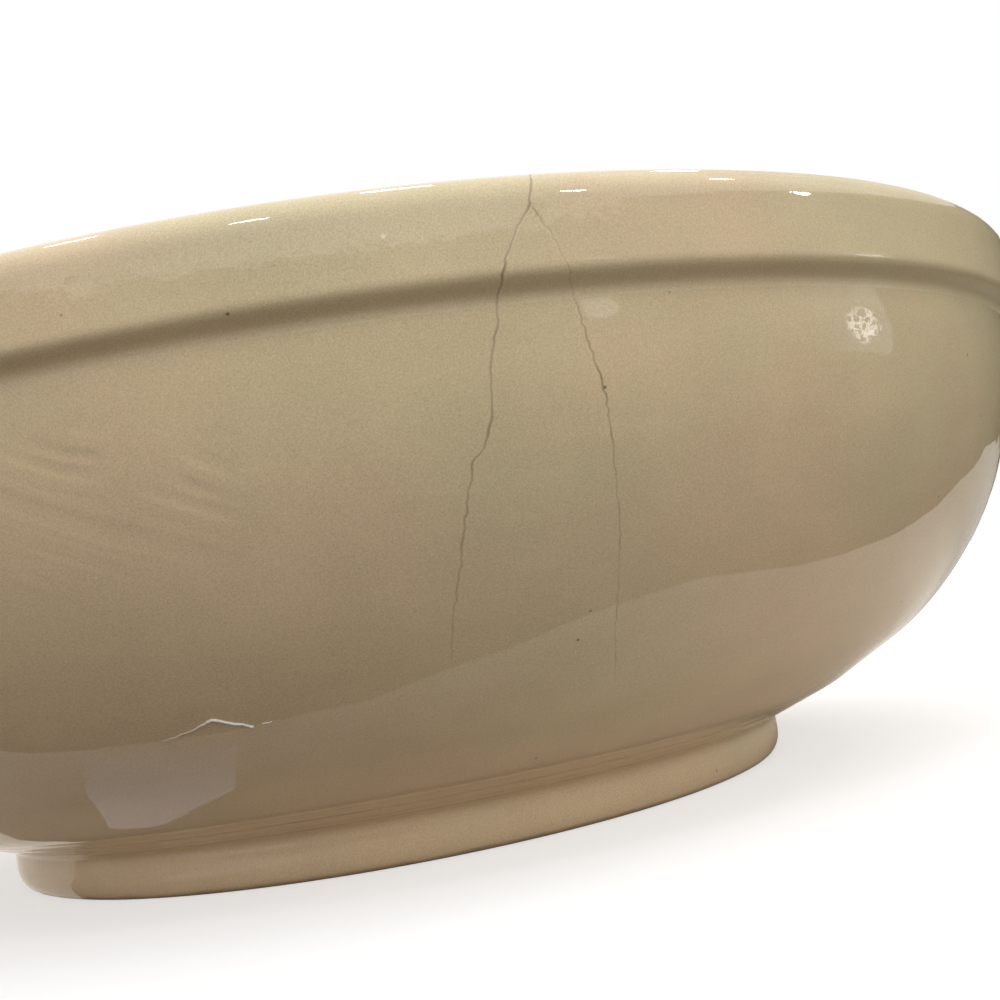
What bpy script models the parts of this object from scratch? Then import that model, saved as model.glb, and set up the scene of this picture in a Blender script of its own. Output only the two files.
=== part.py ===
"""Cracked serving bowl: a wide, low glazed bowl on a foot ring, with a rolled collar
and a forked hairline crack that runs over the lip and down through the wall.

The bowl is one turned piece of fired clay. It stands on z = 0 about the Z axis, and
the crack faces -Y. All sizes are metres, angles are degrees where a name says so.
"""

import math

import bmesh
import bpy
from mathutils import Vector

# Collar and lip
RIM_RADIUS = 0.1500  # outer face of the collar
RIM_HEIGHT = 0.0964  # top of the lip above the table
LIP_RADIUS = 0.0047  # rolled lip, half its thickness
COLLAR_DEPTH = 0.0138  # lip top down to where the collar starts to roll in
STEP_DEPTH = 0.0034  # height of the soft step under the collar
STEP_INSET = 0.0028  # how far the step sets the belly in

# Belly
WALL = 0.0070  # thickness of the belly wall, square to its surface
BELLY_UPPER_PULL = 0.0241  # handle of the belly curve below the step
BELLY_LOWER_PULL = 0.0196  # handle of the belly curve above the trimmed cone

# Trimmed underside: a cone, then a flatter cone that meets the foot
CONE_TOP_RADIUS = 0.1144
CONE_ANGLE_DEG = 29.5
CREASE_RADIUS = 0.1016
CREASE_HEIGHT = 0.0142
CREASE_EASE = 0.0022  # length on each side of the crease that is rounded away
UNDER_ANGLE_DEG = 21.5

# Foot ring and base
FOOT_RADIUS = 0.08625
FOOT_EDGE_WIDTH = 0.0027  # rounded bottom edge of the foot, measured inwards
FOOT_EDGE_HEIGHT = 0.0045  # and upwards
FOOT_FLAT = 0.0062  # width of the flat ring that it stands on
FOOT_INNER_EASE = 0.0012  # rounding of the ring's inner edge
FOOT_INNER_TAPER = 0.0012  # how far the ring's inner face leans inwards
JOIN_FILLET = 0.0011  # where the foot meets the underside
RECESS_DEPTH = 0.0055  # hollow under the base
RECESS_FILLET = 0.0018
FLOOR_THICKNESS = 0.0078
FLOOR_LEVEL_PULL = 0.0500  # flat middle of the inner floor, as a curve handle
FLOOR_EDGE_PULL = 0.0200  # turn-up of the inner floor at its edge

# The crack
CRACK_WIDTH = 0.00034
BRANCH_WIDTH = 0.00028
CRACK_DEPTH = 0.0013
CUTTER_LIFT = 0.0004  # how far a cutter stands proud of the wall
STATION_GAP = 0.0003  # least height between two of a cutter's stations

# Where the crack runs, as (degrees round from -Y towards +X, share of the wall's height from
# the top of the trimmed cone, 0, to the side of the lip, 1)
FORK_DEG = 10.6
FORK_SHARE = 0.987
MAIN_CRACK = [
    (FORK_DEG, FORK_SHARE),
    (9.9, 0.957),
    (9.2, 0.916),
    (8.6, 0.862),
    (8.25, 0.791),
    (7.8, 0.745),
    (7.5, 0.683),
    (7.15, 0.603),
    (6.4, 0.552),
    (5.95, 0.539),
    (5.5, 0.471),
    (5.0, 0.395),
    (4.3, 0.277),
    (3.9, 0.182),
]
BRANCH_CRACK = [
    (FORK_DEG, FORK_SHARE),
    (11.4, 0.933),
    (11.7, 0.905),
    (12.4, 0.832),
    (13.0, 0.717),
    (13.5, 0.643),
    (13.7, 0.583),
    (14.1, 0.434),
    (14.3, 0.358),
    (14.5, 0.223),
    (14.9, 0.142),
    (15.8, 0.055),
]
LIP_CROSSING_DEG = 11.3  # the stem above the fork crosses the top of the lip here

# How finely the turned surface is cut
SEGMENTS = 80
LIP_STEPS = 8
STEP_STEPS = 6
BELLY_STEPS = 10
EASE_STEPS = 3
FLOOR_STEPS = 5
FOOT_EDGE_STEPS = 4
SMALL_ROUND_STEPS = 2
MERGE_DISTANCE = 0.00001
SHARP_ANGLE_DEG = 40

GLAZE_COLOUR = (0.68, 0.545, 0.345, 1.0)
GLAZE_ROUGHNESS = 0.12


def clear_scene():
    for old in list(bpy.data.objects):
        bpy.data.objects.remove(old, do_unlink=True)


def bezier(start, start_handle, end_handle, end, steps):
    """Points of a cubic curve, both ends included."""
    points = []
    for i in range(steps + 1):
        t = i / steps
        u = 1 - t
        points.append(u**3 * start + 3 * u * u * t * start_handle + 3 * u * t * t * end_handle + t**3 * end)
    return points


def arc(centre, across, up, first_deg, last_deg, steps):
    """Points of an elliptical arc about centre, both ends included."""
    points = []
    for i in range(steps + 1):
        a = math.radians(first_deg + (last_deg - first_deg) * i / steps)
        points.append(centre + Vector((across * math.cos(a), up * math.sin(a))))
    return points


def eased_corner(before, corner, after, ease, steps):
    """A corner rounded off over the same length on each side."""
    first = corner + (before - corner).normalized() * ease
    last = corner + (after - corner).normalized() * ease
    return bezier(first, first.lerp(corner, 2 / 3), last.lerp(corner, 2 / 3), last, steps)


def belly_curve():
    """The belly from the trimmed cone up to the step under the collar."""
    slope = Vector((math.cos(math.radians(CONE_ANGLE_DEG)), math.sin(math.radians(CONE_ANGLE_DEG))))
    crease = Vector((CREASE_RADIUS, CREASE_HEIGHT))
    cone_top = crease + slope * ((CONE_TOP_RADIUS - CREASE_RADIUS) / slope.x)
    neck = Vector((RIM_RADIUS - STEP_INSET, RIM_HEIGHT - COLLAR_DEPTH - STEP_DEPTH))
    above = cone_top + slope * BELLY_LOWER_PULL
    below = neck - Vector((0, BELLY_UPPER_PULL))
    return bezier(cone_top, above, below, neck, BELLY_STEPS)


def collar_step():
    """The soft S of the step, from the neck of the belly out to the collar's face."""
    base = RIM_HEIGHT - COLLAR_DEPTH - STEP_DEPTH
    points = []
    for i in range(1, STEP_STEPS + 1):
        t = i / STEP_STEPS
        inset = STEP_INSET * (1 + math.cos(math.pi * t)) / 2
        points.append(Vector((RIM_RADIUS - inset, base + STEP_DEPTH * t)))
    return points


def lip_arc():
    """The rolled lip, from its outer side over the top to its inner side."""
    centre = Vector((RIM_RADIUS - LIP_RADIUS, RIM_HEIGHT - LIP_RADIUS))
    return arc(centre, LIP_RADIUS, LIP_RADIUS, 0, 180, LIP_STEPS)


def underside():
    """The outer side below the belly: crease, foot wall and the foot's rounded edge."""
    crease = Vector((CREASE_RADIUS, CREASE_HEIGHT))
    cone_top = belly_curve()[0]
    join_height = CREASE_HEIGHT - (CREASE_RADIUS - FOOT_RADIUS) * math.tan(math.radians(UNDER_ANGLE_DEG))
    join = Vector((FOOT_RADIUS, join_height))
    edge_top = Vector((FOOT_RADIUS, FOOT_EDGE_HEIGHT))
    edge_centre = Vector((FOOT_RADIUS - FOOT_EDGE_WIDTH, FOOT_EDGE_HEIGHT))
    edge = arc(edge_centre, FOOT_EDGE_WIDTH, FOOT_EDGE_HEIGHT, -90, 0, FOOT_EDGE_STEPS)
    join_round = eased_corner(edge_top, join, crease, JOIN_FILLET, SMALL_ROUND_STEPS)
    crease_round = eased_corner(join, crease, cone_top, CREASE_EASE, EASE_STEPS)
    return edge + join_round + crease_round


def base_hollow():
    """From the axis out along the hollow under the base to the flat of the foot ring."""
    flat_outer = FOOT_RADIUS - FOOT_EDGE_WIDTH
    ground_outer = Vector((flat_outer, 0))
    inner_edge = Vector((flat_outer - FOOT_FLAT, 0))
    ceiling_corner = Vector((inner_edge.x - FOOT_INNER_TAPER, RECESS_DEPTH))
    middle = Vector((0, RECESS_DEPTH))
    ring_inside = eased_corner(ceiling_corner, inner_edge, ground_outer, FOOT_INNER_EASE, SMALL_ROUND_STEPS)
    ceiling_round = eased_corner(middle, ceiling_corner, inner_edge, RECESS_FILLET, SMALL_ROUND_STEPS)
    return [middle] + ceiling_round + ring_inside


def outward_normals(points):
    """Normals on the right-hand side of a line that climbs the outer wall."""
    normals = []
    for i in range(len(points)):
        along = points[min(i + 1, len(points) - 1)] - points[max(i - 1, 0)]
        normals.append(Vector((along.y, -along.x)).normalized())
    return normals


def inner_wall():
    """From the inner side of the lip down the wall, which keeps its thickness, to the axis."""
    outer = belly_curve()
    offset = [p - n * WALL for p, n in zip(outer, outward_normals(outer))]
    offset.reverse()
    floor_edge = offset[-1]
    falling = (floor_edge - offset[-2]).normalized()
    middle = Vector((0, RECESS_DEPTH + FLOOR_THICKNESS))
    turn_in = floor_edge + falling * FLOOR_EDGE_PULL
    level = middle + Vector((FLOOR_LEVEL_PULL, 0))
    return offset + bezier(floor_edge, turn_in, level, middle, FLOOR_STEPS)[1:]


def half_section():
    """The whole section, from the axis under the base, up the outside, over and down inside."""
    outside = underside() + belly_curve() + collar_step()
    return base_hollow() + outside + lip_arc() + inner_wall()


def turned_mesh(name, section):
    """Spins the section about Z into a closed mesh."""
    bm = bmesh.new()
    verts = [bm.verts.new((p.x, 0, p.y)) for p in section]
    edges = [bm.edges.new(pair) for pair in zip(verts, verts[1:])]
    bmesh.ops.spin(
        bm,
        geom=verts + edges,
        cent=(0, 0, 0),
        axis=(0, 0, 1),
        angle=math.tau,
        steps=SEGMENTS,
        use_merge=True,
    )
    bmesh.ops.remove_doubles(bm, verts=bm.verts[:], dist=MERGE_DISTANCE)
    bmesh.ops.recalc_face_normals(bm, faces=bm.faces[:])
    mesh = bpy.data.meshes.new(name)
    bm.to_mesh(mesh)
    bm.free()
    return mesh


def station_at_height(side, normals, height):
    """Point and outward normal on one side's line at a height; the line climbs."""
    for i in range(len(side) - 1):
        low, high = side[i], side[i + 1]
        if low.y <= height <= high.y:
            t = (height - low.y) / (high.y - low.y)
            return low.lerp(high, t), normals[i].lerp(normals[i + 1], t).normalized()
    raise ValueError("the crack leaves the wall")


def along_route(side, route):
    """(degrees, point, normal) stations down the outer wall, at the route's and the section's corners."""
    foot, rise = side[0].y, side[-1].y - side[0].y
    normals = outward_normals(side)
    turns = [(degrees, foot + rise * share) for degrees, share in route]
    stations = []
    for (deg_a, z_a), (deg_b, z_b) in zip(turns, turns[1:]):
        corners = [p.y for p in reversed(side) if z_b + STATION_GAP < p.y < z_a - STATION_GAP]
        for z in [z_a] + corners:
            t = (z_a - z) / (z_a - z_b)
            stations.append((deg_a + (deg_b - deg_a) * t, *station_at_height(side, normals, z)))
    stations.append((turns[-1][0], *station_at_height(side, normals, turns[-1][1])))
    return stations


def through_wall(stations):
    """The stations on the inner face straight through the wall from the given outer ones."""
    neck = belly_curve()[-1]
    low = neck - Vector((WALL, 0))
    high = lip_arc()[-1]
    along = (high - low).normalized()
    found = []
    for degrees, point, normal in stations:
        if point.y <= neck.y:
            found.append((degrees, point - normal * WALL, -normal))
        else:
            level = low.lerp(high, (point.y - low.y) / (high.y - low.y))
            found.append((degrees, level, Vector((-along.y, along.x))))
    return found


def lip_stations():
    """Stations over the lip, square to its roll."""
    centre = Vector((RIM_RADIUS - LIP_RADIUS, RIM_HEIGHT - LIP_RADIUS))
    stations = []
    for i in range(LIP_STEPS + 1):
        a = math.pi * i / LIP_STEPS
        normal = Vector((math.cos(a), math.sin(a)))
        degrees = FORK_DEG + (LIP_CROSSING_DEG - FORK_DEG) * math.sin(a)
        stations.append((degrees, centre + normal * LIP_RADIUS, normal))
    return stations


def turned_to(degrees, flat):
    """A point or direction of the section, turned round the axis from -Y towards +X."""
    a = math.radians(degrees)
    return Vector((flat.x * math.sin(a), -flat.x * math.cos(a), flat.y))


def crack_cutter(name, stations, width, open_start):
    """A wedge along the stations, with its edge in the wall; it dies out to a point at each closed end."""
    points = [turned_to(d, p) for d, p, n in stations]
    normals = [turned_to(d, n) for d, p, n in stations]
    spread = width / 2 * (1 + CUTTER_LIFT / CRACK_DEPTH)
    bm = bmesh.new()
    rings = []
    for i, (point, normal) in enumerate(zip(points, normals)):
        along = points[min(i + 1, len(points) - 1)] - points[max(i - 1, 0)]
        across = along.cross(normal).normalized() * spread
        top = point + normal * CUTTER_LIFT
        first, last = i == 0, i == len(points) - 1
        if last or (first and not open_start):
            rings.append([bm.verts.new(top)])
        else:
            corners = (top + across, top - across, point - normal * CRACK_DEPTH)
            rings.append([bm.verts.new(corner) for corner in corners])
    if open_start:
        bm.faces.new(rings[0])
    for a, b in zip(rings, rings[1:]):
        for k in range(3):
            corners = [a[k % len(a)], a[(k + 1) % len(a)], b[(k + 1) % len(b)], b[k % len(b)]]
            bm.faces.new(list(dict.fromkeys(corners)))
    bmesh.ops.recalc_face_normals(bm, faces=bm.faces[:])
    mesh = bpy.data.meshes.new(name)
    bm.to_mesh(mesh)
    bm.free()
    cutter = bpy.data.objects.new(name, mesh)
    bpy.context.scene.collection.objects.link(cutter)
    cutter.hide_render = True
    cutter.display_type = "WIRE"
    return cutter


def crack_cutters():
    """The main crack over the lip, and its branch on the outer and on the inner face."""
    outer = belly_curve() + collar_step() + [lip_arc()[0]]
    main = along_route(outer, MAIN_CRACK)
    branch = along_route(outer, BRANCH_CRACK)
    over_the_lip = list(reversed(main)) + lip_stations() + through_wall(main)
    return [
        crack_cutter("main_crack", over_the_lip, CRACK_WIDTH, False),
        crack_cutter("branch_outside", branch, BRANCH_WIDTH, True),
        crack_cutter("branch_inside", through_wall(branch), BRANCH_WIDTH, True),
    ]


def glaze_material():
    material = bpy.data.materials.new("cream_glaze")
    material.use_nodes = True
    shader = material.node_tree.nodes["Principled BSDF"]
    shader.inputs["Base Color"].default_value = GLAZE_COLOUR
    shader.inputs["Roughness"].default_value = GLAZE_ROUGHNESS
    shader.inputs["Metallic"].default_value = 0.0
    return material


def make_bowl():
    mesh = turned_mesh("bowl", half_section())
    mesh.shade_smooth()
    mesh.set_sharp_from_angle(angle=math.radians(SHARP_ANGLE_DEG))
    mesh.materials.append(glaze_material())
    bowl = bpy.data.objects.new("bowl", mesh)
    bpy.context.scene.collection.objects.link(bowl)
    for cutter in crack_cutters():
        cut = bowl.modifiers.new(cutter.name, "BOOLEAN")
        cut.operation = "DIFFERENCE"
        cut.solver = "EXACT"
        cut.object = cutter
    return bowl


def main():
    clear_scene()
    make_bowl()


main()
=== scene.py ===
"""Looks for the cracked bowl: one turned body under a glossy cream glaze, with a forked crack.

The turned body is woven by Geometry Nodes from the rows of its section and the columns round it.
Columns crowd together along the two branches of the crack, which is cut into the surface there.
Sizes are metres; degrees are measured round from -Y towards +X.
"""

import math
import random

import bpy
from mathutils import Matrix, Vector


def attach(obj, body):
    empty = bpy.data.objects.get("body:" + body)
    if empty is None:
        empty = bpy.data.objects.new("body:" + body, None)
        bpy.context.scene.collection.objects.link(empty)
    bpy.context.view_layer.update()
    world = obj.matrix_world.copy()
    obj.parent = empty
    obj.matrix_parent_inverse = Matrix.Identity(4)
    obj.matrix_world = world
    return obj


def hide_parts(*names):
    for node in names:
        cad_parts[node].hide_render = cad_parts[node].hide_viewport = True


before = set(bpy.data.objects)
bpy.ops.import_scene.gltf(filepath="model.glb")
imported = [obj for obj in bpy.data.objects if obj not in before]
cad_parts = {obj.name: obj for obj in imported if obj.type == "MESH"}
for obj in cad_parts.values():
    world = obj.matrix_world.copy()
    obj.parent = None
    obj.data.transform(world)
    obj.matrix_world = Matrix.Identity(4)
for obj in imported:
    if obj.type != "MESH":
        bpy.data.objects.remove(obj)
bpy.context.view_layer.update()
bpy.context.scene.view_settings.view_transform = "Standard"
collection = bpy.context.scene.collection

# The section, as on the part
RIM_RADIUS = 0.1500
RIM_HEIGHT = 0.0964
LIP_RADIUS = 0.0047
COLLAR_DEPTH = 0.0138
STEP_DEPTH = 0.0034
STEP_INSET = 0.0028
WALL = 0.0070
BELLY_UPPER_PULL = 0.0241
BELLY_LOWER_PULL = 0.0196
CONE_TOP_RADIUS = 0.1144
CONE_ANGLE_DEG = 29.5
CREASE_RADIUS = 0.1016
CREASE_HEIGHT = 0.0142
CREASE_EASE = 0.0022
UNDER_ANGLE_DEG = 21.5
FOOT_RADIUS = 0.08625
FOOT_EDGE_WIDTH = 0.0027
FOOT_EDGE_HEIGHT = 0.0045
FOOT_FLAT = 0.0062
FOOT_INNER_EASE = 0.0012
FOOT_INNER_TAPER = 0.0012
JOIN_FILLET = 0.0011
RECESS_DEPTH = 0.0055
RECESS_FILLET = 0.0018
FLOOR_THICKNESS = 0.0078
FLOOR_LEVEL_PULL = 0.0500
FLOOR_EDGE_PULL = 0.0200

# The crack, as (degrees, share of the wall's height), and how dark it is down its length
FORK = (10.6, 0.987)
MAIN_CRACK = [
    FORK,
    (9.9, 0.957),
    (9.2, 0.916),
    (8.6, 0.862),
    (8.25, 0.791),
    (7.8, 0.745),
    (7.5, 0.683),
    (7.15, 0.603),
    (6.45, 0.550),
    (5.98, 0.5425),
    (5.5, 0.471),
    (5.0, 0.395),
    (4.3, 0.277),
    (3.9, 0.182),
]
BRANCH_CRACK = [
    FORK,
    (11.4, 0.933),
    (11.7, 0.905),
    (12.4, 0.832),
    (13.0, 0.717),
    (13.5, 0.643),
    (13.7, 0.583),
    (14.1, 0.434),
    (14.3, 0.358),
    (14.5, 0.223),
    (14.9, 0.142),
    (15.8, 0.055),
]
LIP_CROSSING_DEG = 11.3
MAIN_DARKNESS = [
    (0.13, 0.0), (0.2, 0.26), (0.4, 0.44), (0.6, 0.55), (0.74, 0.46), (0.9, 0.68), (0.97, 0.6),
    (0.987, 0.95), (1.0, 0.5),
]
BRANCH_DARKNESS = [
    (0.04, 0.0), (0.1, 0.28), (0.5, 0.36), (0.66, 0.58), (0.8, 0.48), (0.88, 0.16), (0.96, 0.42), (1.0, 0.7),
]
# The branch's columns keep this far from the main crack's
BRANCH_CLEARANCE_DEG = 1.1

# Marks in the glaze, as (degrees, height, radius)
DARK_SPECKS = [(-4.89, 0.08176, 0.00027), (13.57, 0.06663, 0.00026), (12.09, 0.03386, 0.00024)]
PALE_SPECKS = [(3.04, 0.08873, 0.00032)]

# The raised scratch and its broken-off end, as (degrees, height, share of the radius)
SCRATCH = [
    (-15.26, 0.02953, 0.35), (-13.19, 0.03035, 0.60), (-12.2, 0.03105, 0.85), (-11.45, 0.03155, 1.0),
    (-10.18, 0.03044, 1.0), (-9.65, 0.03010, 0.8), (-9.11, 0.02954, 0.95),
]
SCRATCH_END = [(-8.54, 0.02978, 0.3), (-8.2, 0.02981, 0.4), (-7.87, 0.02983, 0.2)]
SCRATCH_RADIUS = 0.00021
# Across these x values the scratch whitens into a painted highlight at its right end
SCRATCH_HIGHLIGHT_ACROSS = (-0.0290, -0.0235)

# Turning lines under the crease, as (radius, strength): cut as shallow grooves, and darkened along them with
# painted shade
UNDER_LINES = [(0.0885, 0.45), (0.0908, 0.32), (0.0945, 0.65), (0.0985, 0.28)]
UNDER_LINE_WIDTH = 0.0007
UNDER_LINE_DEPTHS = 16
UNDER_RING_DEPTHS = 2.5

# Relief of the glaze
CRACK_HALF_WIDTH = 0.00018
CRACK_DEPTH = 0.0001
SWELL_DEPTH = 0.00008
SWELL_SPACING = 0.045
RING_DEPTH = 0.000012

# Rows and columns of the woven surface
OUTER_ROW = 0.0007
INNER_ROW = 0.0024
BASE_ROW = 0.0040
CRACK_COLUMNS = [-0.0012, -0.0008, -0.0005, -0.0003, -0.00015, 0, 0.00015, 0.0003, 0.0005, 0.0008, 0.0012]
BETWEEN_COLUMNS = 18
ROUND_COLUMNS = 246

# Colours of the glaze, its marks, its painted shade and highlight, and the clay
PINK_CREAM = (0.706, 0.547, 0.354)
GREEN_CREAM = (0.652, 0.553, 0.346)
# Brown for the worn foot edge and the pinholes, and for painted shade along the turning lines
SHADE_AND_WEAR_BROWN = (0.34, 0.255, 0.16)
# Brown of the painted shade on the underside, between the crease and the foot
UNDERSIDE_SHADE_BROWN = (0.43, 0.35, 0.245)
SPECK_BROWN = (0.20, 0.13, 0.07)
PALE_CREAM = (0.88, 0.80, 0.66)
CRACK_BROWN = (0.29, 0.215, 0.125)
DRY_CLAY = (0.46, 0.36, 0.24)
DIRTY_CLAY = (0.27, 0.21, 0.15)
CHIP_CREAM = (0.72, 0.62, 0.47)
# White of the painted highlight on the scratch
CHIP_HIGHLIGHT_WHITE = (0.93, 0.92, 0.90)

# Widths of the crack's dark lines
MAIN_LINE = 0.00027
BRANCH_LINE = 0.00023

# The glaze's clouds: pinker below the middle height as painted warm light from below, and pinker at the front
# left as a painted reflection tint
CLOUD_SCALE = 24.0
WARM_LIGHT_MIDDLE = 0.050
WARM_LIGHT_BELOW = -0.024
WARM_LIGHT_ABOVE = 0.030
WARM_LIGHT_RISE = 4.0
LEFT_TINT_ACROSS = (-0.020, 0.050)
LEFT_TINT_HEIGHTS = (0.078, 0.088)
LEFT_REFLECTION_TINT = 0.13
COLLAR_REFLECTION_TINT = 0.35
INNER_CONTRAST = 0.4

# The slanting ripples and other marks of the glaze. Four numbers are a window: it starts,
# is full, is last full and ends
RIPPLE_ACROSS = (-0.080, -0.055, -0.022, -0.012)
RIPPLE_FRONT = (-0.125, -0.110)
RIPPLE_HEIGHTS = (0.050, 0.056, 0.067, 0.074)
RIPPLE_SLANT = (0.42, 0.0, 0.9)
RIPPLE_SCALE = 520.0
# Heights of the painted shade on the underside
UNDER_HEIGHTS = (0.0085, 0.0095, 0.0128, 0.0136)
WORN_HEIGHTS = (0.0009, 0.0018)
PINHOLE_SCALE = 240.0
PINHOLE_RARITY = 0.965
PINHOLE_SIZES = (0.05, 0.085)
DULL_START = (0.0780, 0.0790)
DULL_END = (0.0812, 0.0824)
DULL_STEP = 0.34

# The stage: the floor that the camera sees, and what the glaze mirrors
FLOOR_COLOUR = (0.55, 0.55, 0.548)
FLOOR_GLOW = (0.58, 1.0)
FLOOR_GLOW_REACH = (0.4, 1.2)
GROUND_SIZE = 6.0
DARK_COLOUR = (0.12, 0.10, 0.08)
BOARD_COLOUR = (0.80, 0.76, 0.71)
BOARD_BOUNCE = (0.63, 0.56, 0.475)
BOARD_EDGE = [
    (-0.073, -0.104), (-0.059, -0.110), (-0.044, -0.115), (-0.032, -0.118), (-0.018, -0.123),
    (-0.008, -0.124), (0.002, -0.127), (0.012, -0.130), (0.023, -0.132), (0.038, -0.134),
    (0.054, -0.134), (0.078, -0.129), (0.096, -0.117), (0.109, -0.107), (0.121, -0.098),
    (0.136, -0.087), (0.148, -0.077), (0.164, -0.064), (0.186, -0.047), (0.218, -0.020),
    (0.244, 0.0), (0.278, 0.030), (0.419, 0.171), (0.500, 0.250), (0.835, 0.670),
    (2.200, 2.100), (-1.400, 2.100), (-1.400, 0.260),
]
# Cards that glow though they are no lamps, seen only in the glaze: a pale sheet on the board and a lit patch
# by the foot
SHEET_EDGE = [
    (-0.062, -0.106), (-0.060, -0.083), (-0.057, -0.074), (-0.048, -0.078), (-0.038, -0.087),
    (-0.031, -0.092), (-0.030, -0.113), (-0.046, -0.110),
]
SHEET_COLOUR = (1.0, 0.95, 0.99)
SHEET_GLOW = 0.50
LIT_EDGE = [
    (-0.0590, -0.0555), (-0.0610, -0.0570), (-0.0750, -0.0525), (-0.1000, -0.0480), (-0.1250, -0.0400),
    (-0.1250, 0.0600), (-0.0600, 0.0600), (-0.0800, 0.0), (-0.0700, -0.0430),
]
LIT_COLOUR = (1.0, 0.90, 0.78)
LIT_GLOW = 0.72

# Bands that stand round the bowl: radius, first and last degree, and how many parts,
# and then their bottoms and tops as (degree, height)
DARK_WALL = (2.0, -150, 138, 48, [(0, -0.0004)], [(40, 0.64), (90, 0.91)])
GREY_WALL = (1.9, 102, 150, 12, [(0, 0.865)], [(0, 2.7)])
STRIP_BOTTOM = [(78, 0.026), (84, 0.030), (88, 0.037), (92, 0.044), (104, 0.046)]
DARK_STRIP = (0.25, 78, 104, 8, STRIP_BOTTOM, [(0, 0.070)])
# The grey wall glows evenly though it is no lamp, and only the glaze sees it
GREY_COLOUR = (1.0, 0.97, 0.92)
GREY_GLOW = 0.62

# The creased sheet: its outline, its place as (azimuth, elevation, distance), and how it glows
CREASED_EDGE = [
    (-0.324, 0.191), (0.113, 0.191), (0.127, 0.113), (0.166, -0.074), (0.127, -0.122), (0.050, -0.142),
    (-0.036, -0.240), (-0.094, -0.220), (-0.276, -0.083),
]
CREASED_PLACE = (79.5, 1, 1.2)
CREASED_COLOUR = (1.0, 0.99, 0.94)
CREASE_SCALE = 26.0
CREASE_GLOW = 5.0
CREASE_MIDDLE = (0.02, 0.0, 0.0)
CREASE_SPREAD = (0.05, 0.09)
SHEET_FADE = (-0.32, 0.08)
FLAT_GLOW = 0.8

# Light: the even sky, and small ceiling lamps that the rim mirrors, as (azimuth, elevation, size, watts)
SKY_LIGHT = 0.80
ROOM_MIDDLE = (0, 0, 0.09)
GLINT_DISTANCE = 1.5
GLINTS = [
    (-127, 66, 0.12, 1.2), (-11.3, 48, 0.12, 1.2), (162, 69, 0.14, 1.6), (38.6, 30.5, 0.09, 0.7),
    (140, 48, 0.09, 0.6), (80, 45, 0.09, 0.6), (72.5, 17.2, 0.08, 0.45), (37, 7, 0.14, 0.07),
]

# The camera
CAMERA_LENS = 47.108
CAMERA_PLACE = (0, -0.31157, 0.03941)
CAMERA_PAN = 0.10457
CAMERA_PITCH = 0.08527
CAMERA_ROLL = -0.16847


def bezier(start, start_handle, end_handle, end, steps):
    """Points along a Bezier curve, both ends kept."""
    points = []
    for i in range(steps + 1):
        t = i / steps
        u = 1 - t
        near, far = 3 * u * u * t, 3 * u * t * t
        points.append(u**3 * start + near * start_handle + far * end_handle + t**3 * end)
    return points


def arc(centre, across, up, first_deg, last_deg, steps):
    """Points along part of an ellipse."""
    points = []
    for i in range(steps + 1):
        a = math.radians(first_deg + (last_deg - first_deg) * i / steps)
        points.append(centre + Vector((across * math.cos(a), up * math.sin(a))))
    return points


def eased_corner(before, corner, after, ease):
    """A corner of the section, rounded from the ease before it to the ease after it."""
    first = corner + (before - corner).normalized() * ease
    last = corner + (after - corner).normalized() * ease
    return bezier(first, first.lerp(corner, 2 / 3), last.lerp(corner, 2 / 3), last, 12)


def belly_curve():
    """From the crease up the cone and the belly to the foot of the step."""
    angle = math.radians(CONE_ANGLE_DEG)
    slope = Vector((math.cos(angle), math.sin(angle)))
    crease = Vector((CREASE_RADIUS, CREASE_HEIGHT))
    cone_top = crease + slope * ((CONE_TOP_RADIUS - CREASE_RADIUS) / slope.x)
    neck = Vector((RIM_RADIUS - STEP_INSET, RIM_HEIGHT - COLLAR_DEPTH - STEP_DEPTH))
    under_neck = neck - Vector((0, BELLY_UPPER_PULL))
    return bezier(cone_top, cone_top + slope * BELLY_LOWER_PULL, under_neck, neck, 120)


def outer_line():
    """From the flat of the foot up the outside of the bowl, over the lip to its inner side."""
    base = RIM_HEIGHT - COLLAR_DEPTH - STEP_DEPTH
    crease = Vector((CREASE_RADIUS, CREASE_HEIGHT))
    join_height = CREASE_HEIGHT - (CREASE_RADIUS - FOOT_RADIUS) * math.tan(math.radians(UNDER_ANGLE_DEG))
    join = Vector((FOOT_RADIUS, join_height))
    edge_top = Vector((FOOT_RADIUS, FOOT_EDGE_HEIGHT))
    edge_centre = Vector((FOOT_RADIUS - FOOT_EDGE_WIDTH, FOOT_EDGE_HEIGHT))
    belly = belly_curve()
    step = []
    for i in range(1, 41):
        inset = STEP_INSET * (1 + math.cos(math.pi * i / 40)) / 2
        step.append(Vector((RIM_RADIUS - inset, base + STEP_DEPTH * i / 40)))
    lip = arc(Vector((RIM_RADIUS - LIP_RADIUS, RIM_HEIGHT - LIP_RADIUS)), LIP_RADIUS, LIP_RADIUS, 0, 180, 60)
    edge = arc(edge_centre, FOOT_EDGE_WIDTH, FOOT_EDGE_HEIGHT, -90, 0, 24)
    join_round = eased_corner(edge_top, join, crease, JOIN_FILLET)
    crease_round = eased_corner(join, crease, belly[0], CREASE_EASE)
    return edge + join_round + crease_round + belly + step + lip


def inner_line():
    """From the inner side of the lip down the wall and along the floor to the axis."""
    outer = belly_curve()
    offset = []
    for i in range(len(outer)):
        along = (outer[min(i + 1, len(outer) - 1)] - outer[max(i - 1, 0)]).normalized()
        offset.append(outer[i] - Vector((along.y, -along.x)) * WALL)
    offset.reverse()
    middle = Vector((0, RECESS_DEPTH + FLOOR_THICKNESS))
    turn_in = offset[-1] + (offset[-1] - offset[-2]).normalized() * FLOOR_EDGE_PULL
    top = Vector((RIM_RADIUS - 2 * LIP_RADIUS, RIM_HEIGHT - LIP_RADIUS))
    floor = bezier(offset[-1], turn_in, middle + Vector((FLOOR_LEVEL_PULL, 0)), middle, 60)
    return [top] + offset + floor[1:]


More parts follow.
